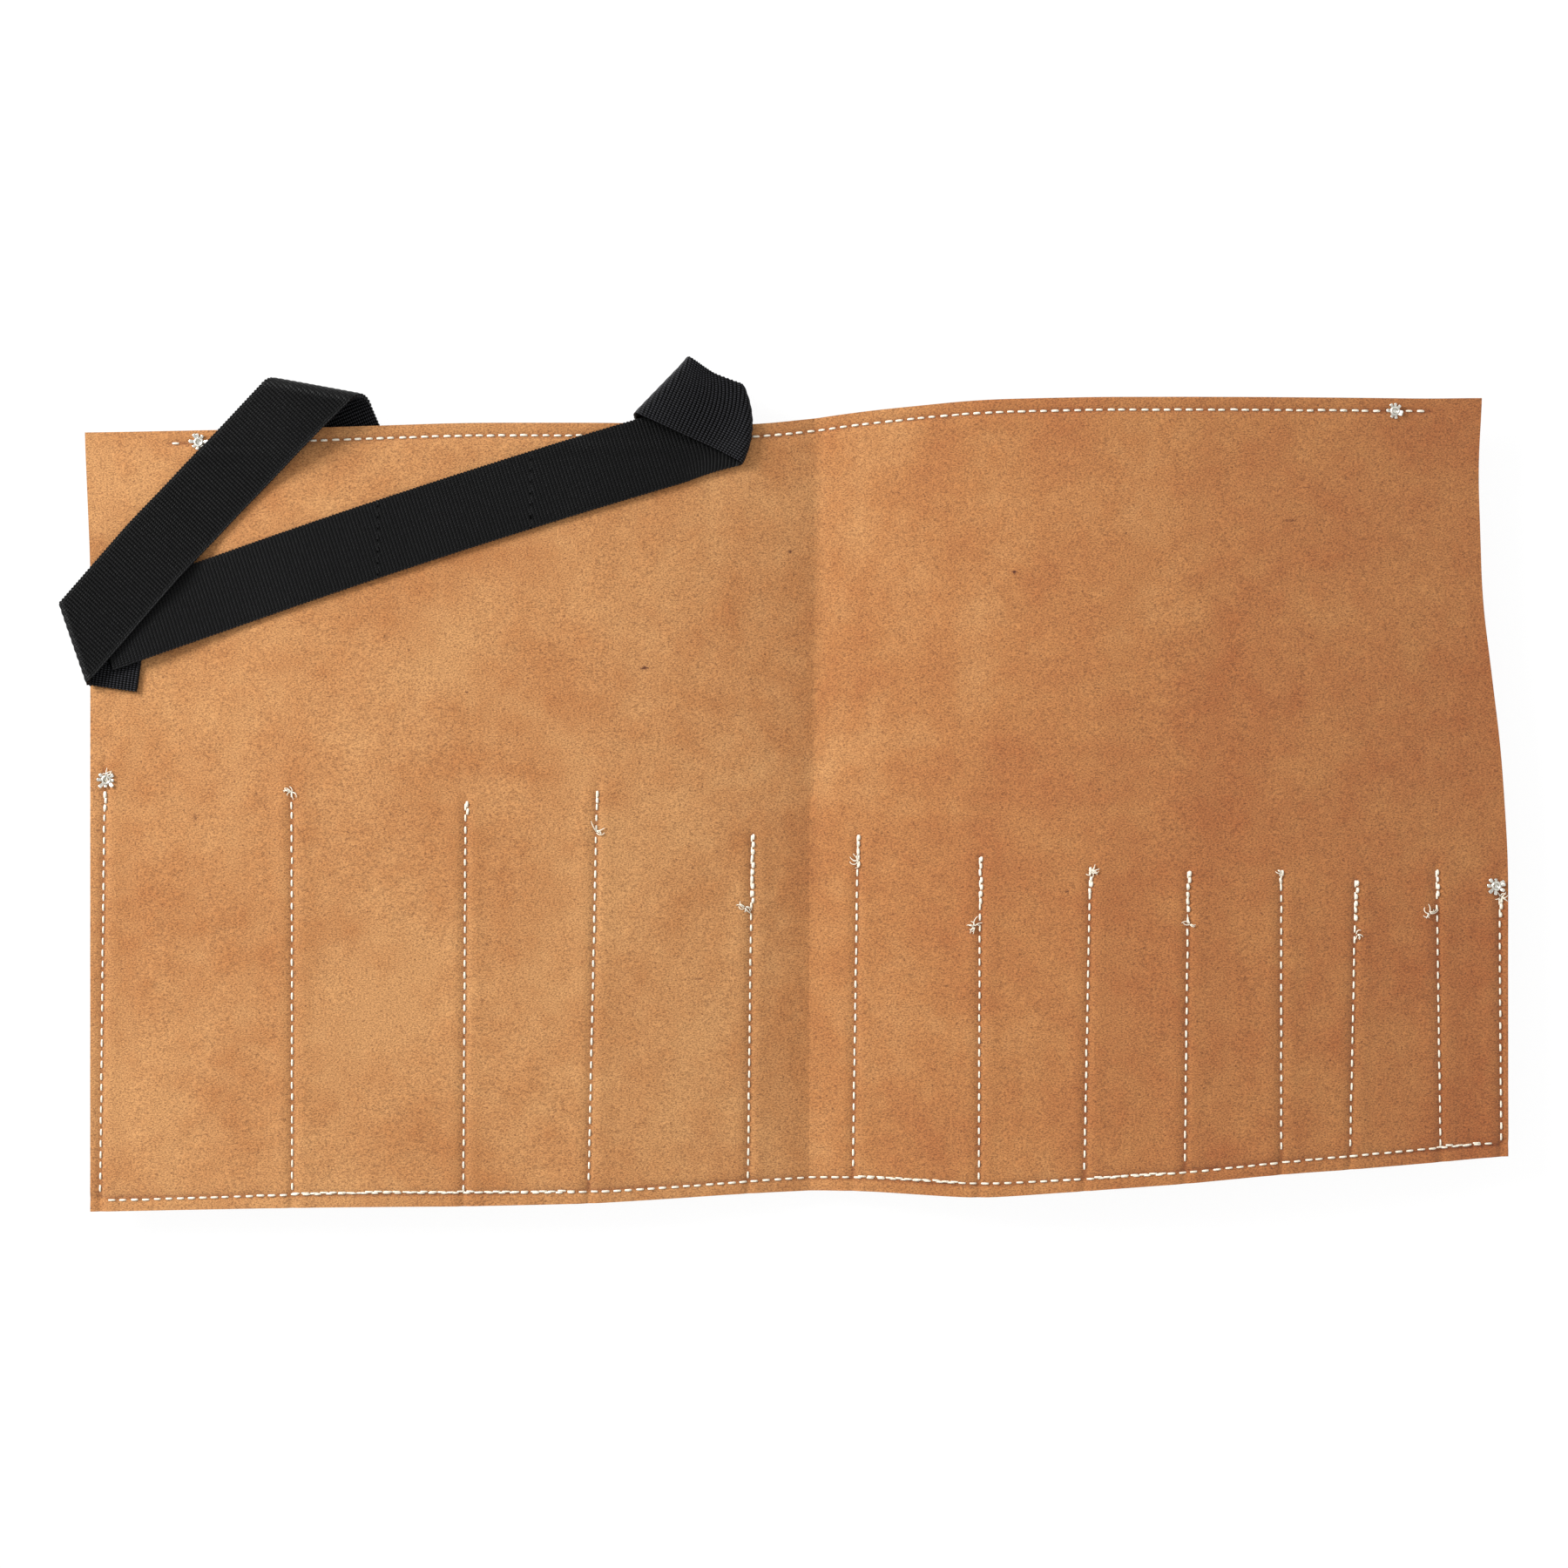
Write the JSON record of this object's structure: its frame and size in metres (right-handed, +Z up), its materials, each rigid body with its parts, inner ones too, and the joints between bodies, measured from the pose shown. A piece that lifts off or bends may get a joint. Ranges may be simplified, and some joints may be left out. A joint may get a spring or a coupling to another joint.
{
  "type": "roll-up pencil case",
  "caption": "Roll-up leather pencil case lying open face down, with graded pockets and a flap underneath and two webbing ties folded on its back.",
  "frame": {"origin": "under the middle of the open case and its folded ties, on the surface that it lies on", "axes": "+X along the case towards its inner end, +Y towards the flap edge, +Z up out of the back panel"},
  "size_m": [0.4908, 0.2881, 0.0202],
  "materials": {
    "back_leather": "matt split leather",
    "inner_leather": "matt split leather",
    "thread": "waxed thread",
    "webbing": "ribbed webbing",
    "rivets": "nickel plated"
  },
  "bodies": {
    "section_01": {"back_panel_01": "back_leather", "pocket_01": "inner_leather", "stitches_01": "thread", "rivet_flap_outer": "rivets", "rivet_pocket_outer": "rivets", "tie_a_01": "webbing", "tie_b_01": "webbing"},
    "section_02": {"back_panel_02": "back_leather", "pocket_02": "inner_leather", "stitches_02": "thread", "tie_a_02": "webbing", "tie_b_02": "webbing"},
    "section_03": {"back_panel_03": "back_leather", "pocket_03": "inner_leather", "stitches_03": "thread", "tie_b_03": "webbing"},
    "section_04": {"back_panel_04": "back_leather", "pocket_04": "inner_leather", "stitches_04": "thread", "tie_b_04": "webbing"},
    "section_05": {"back_panel_05": "back_leather", "pocket_05": "inner_leather", "stitches_05": "thread"},
    "section_06": {"back_panel_06": "back_leather", "pocket_06": "inner_leather", "stitches_06": "thread"},
    "section_07": {"back_panel_07": "back_leather", "pocket_07": "inner_leather", "stitches_07": "thread"},
    "section_08": {"back_panel_08": "back_leather", "pocket_08": "inner_leather", "stitches_08": "thread"},
    "section_09": {"back_panel_09": "back_leather", "pocket_09": "inner_leather", "stitches_09": "thread"},
    "section_10": {"back_panel_10": "back_leather", "pocket_10": "inner_leather", "stitches_10": "thread"},
    "section_11": {"back_panel_11": "back_leather", "pocket_11": "inner_leather", "stitches_11": "thread", "rivet_flap_inner": "rivets"},
    "section_12": {"back_panel_12": "back_leather", "pocket_12": "inner_leather", "stitches_12": "thread", "rivet_pocket_inner": "rivets"},
    "flap_strip_01": {"flap_01": "inner_leather"},
    "flap_strip_02": {"flap_02": "inner_leather"},
    "flap_strip_03": {"flap_03": "inner_leather"},
    "flap_strip_04": {"flap_04": "inner_leather"},
    "flap_strip_05": {"flap_05": "inner_leather"},
    "flap_strip_06": {"flap_06": "inner_leather"},
    "flap_strip_07": {"flap_07": "inner_leather"},
    "flap_strip_08": {"flap_08": "inner_leather"},
    "flap_strip_09": {"flap_09": "inner_leather"},
    "flap_strip_10": {"flap_10": "inner_leather"},
    "flap_strip_11": {"flap_11": "inner_leather"}
  },
  "joints": [
    {"name": "roll_01", "type": "hinge", "parent": "section_01", "child": "section_02", "pos_m": [-0.16714, -0.0059, 0.00949], "axis": [0, 1, 0], "range_deg": [0, 54]},
    {"name": "roll_02", "type": "hinge", "parent": "section_02", "child": "section_03", "pos_m": [-0.10813, -0.0059, 0.00949], "axis": [0, 1, 0], "range_deg": [0, 47]},
    {"name": "roll_03", "type": "hinge", "parent": "section_03", "child": "section_04", "pos_m": [-0.06363, -0.0059, 0.00949], "axis": [0, 1, 0], "range_deg": [0, 50]},
    {"name": "roll_04", "type": "hinge", "parent": "section_04", "child": "section_05", "pos_m": [-0.01119, -0.0059, 0.0072], "axis": [0, 1, 0], "range_deg": [0, 48]},
    {"name": "roll_05", "type": "hinge", "parent": "section_05", "child": "section_06", "pos_m": [0.02482, -0.0059, 0.0072], "axis": [0, 1, 0], "range_deg": [0, 48]},
    {"name": "roll_06", "type": "hinge", "parent": "section_06", "child": "section_07", "pos_m": [0.06601, -0.0059, 0.01226], "axis": [0, 1, 0], "range_deg": [0, 55]},
    {"name": "roll_07", "type": "hinge", "parent": "section_07", "child": "section_08", "pos_m": [0.10286, -0.0059, 0.01548], "axis": [0, 1, 0], "range_deg": [0, 43]},
    {"name": "roll_08", "type": "hinge", "parent": "section_08", "child": "section_09", "pos_m": [0.13586, -0.0059, 0.01606], "axis": [0, 1, 0], "range_deg": [0, 51]},
    {"name": "roll_09", "type": "hinge", "parent": "section_09", "child": "section_10", "pos_m": [0.16734, -0.0059, 0.01496], "axis": [0, 1, 0], "range_deg": [0, 47]},
    {"name": "roll_10", "type": "hinge", "parent": "section_10", "child": "section_11", "pos_m": [0.19278, -0.0059, 0.01318], "axis": [0, 1, 0], "range_deg": [0, 50]},
    {"name": "roll_11", "type": "hinge", "parent": "section_11", "child": "section_12", "pos_m": [0.22062, -0.0059, 0.01025], "axis": [0, 1, 0], "range_deg": [0, 47]},
    {"name": "flap_fold_01", "type": "hinge", "parent": "section_01", "child": "flap_strip_01", "pos_m": [-0.1991, 0.1131, 0.00793], "axis": [0.9995, 0, 0.0332], "range_deg": [0, 176]},
    {"name": "flap_fold_02", "type": "hinge", "parent": "section_02", "child": "flap_strip_02", "pos_m": [-0.13764, 0.1141, 0.00899], "axis": [1, 0, 0], "range_deg": [0, 176.05]},
    {"name": "flap_fold_03", "type": "hinge", "parent": "section_03", "child": "flap_strip_03", "pos_m": [-0.08589, 0.1161, 0.00899], "axis": [1, 0, 0], "range_deg": [0, 176.05]},
    {"name": "flap_fold_04", "type": "hinge", "parent": "section_04", "child": "flap_strip_04", "pos_m": [-0.03743, 0.1156, 0.00784], "axis": [0.999, 0, -0.0436], "range_deg": [0, 176.05]},
    {"name": "flap_fold_05", "type": "hinge", "parent": "section_05", "child": "flap_strip_05", "pos_m": [0.00681, 0.1156, 0.0067], "axis": [1, 0, 0], "range_deg": [0, 176.05]},
    {"name": "flap_fold_06", "type": "hinge", "parent": "section_06", "child": "flap_strip_06", "pos_m": [0.04547, 0.1201, 0.00923], "axis": [0.9925, 0, 0.1219], "range_deg": [0, 176.05]},
    {"name": "flap_fold_07", "type": "hinge", "parent": "section_07", "child": "flap_strip_07", "pos_m": [0.08448, 0.1236, 0.01337], "axis": [0.9962, 0, 0.0872], "range_deg": [0, 176.05]},
    {"name": "flap_fold_08", "type": "hinge", "parent": "section_08", "child": "flap_strip_08", "pos_m": [0.11937, 0.1241, 0.01527], "axis": [0.9998, 0, 0.0175], "range_deg": [0, 176.05]},
    {"name": "flap_fold_09", "type": "hinge", "parent": "section_09", "child": "flap_strip_09", "pos_m": [0.15158, 0.1241, 0.01501], "axis": [0.9994, 0, -0.0349], "range_deg": [0, 176.05]},
    {"name": "flap_fold_10", "type": "hinge", "parent": "section_10", "child": "flap_strip_10", "pos_m": [0.18002, 0.1241, 0.01357], "axis": [0.9976, 0, -0.0698], "range_deg": [0, 176.05]},
    {"name": "flap_fold_11", "type": "hinge", "parent": "section_11", "child": "flap_strip_11", "pos_m": [0.20665, 0.1241, 0.01122], "axis": [0.9945, 0, -0.1045], "range_deg": [0, 176.05]}
  ],
  "couplings": [
    {"joint": "flap_fold_02", "follows": "flap_fold_01", "ratio": 1},
    {"joint": "flap_fold_03", "follows": "flap_fold_01", "ratio": 1},
    {"joint": "flap_fold_04", "follows": "flap_fold_01", "ratio": 1},
    {"joint": "flap_fold_05", "follows": "flap_fold_01", "ratio": 1},
    {"joint": "flap_fold_06", "follows": "flap_fold_01", "ratio": 1},
    {"joint": "flap_fold_07", "follows": "flap_fold_01", "ratio": 1},
    {"joint": "flap_fold_08", "follows": "flap_fold_01", "ratio": 1},
    {"joint": "flap_fold_09", "follows": "flap_fold_01", "ratio": 1},
    {"joint": "flap_fold_10", "follows": "flap_fold_01", "ratio": 1},
    {"joint": "flap_fold_11", "follows": "flap_fold_01", "ratio": 1}
  ]
}
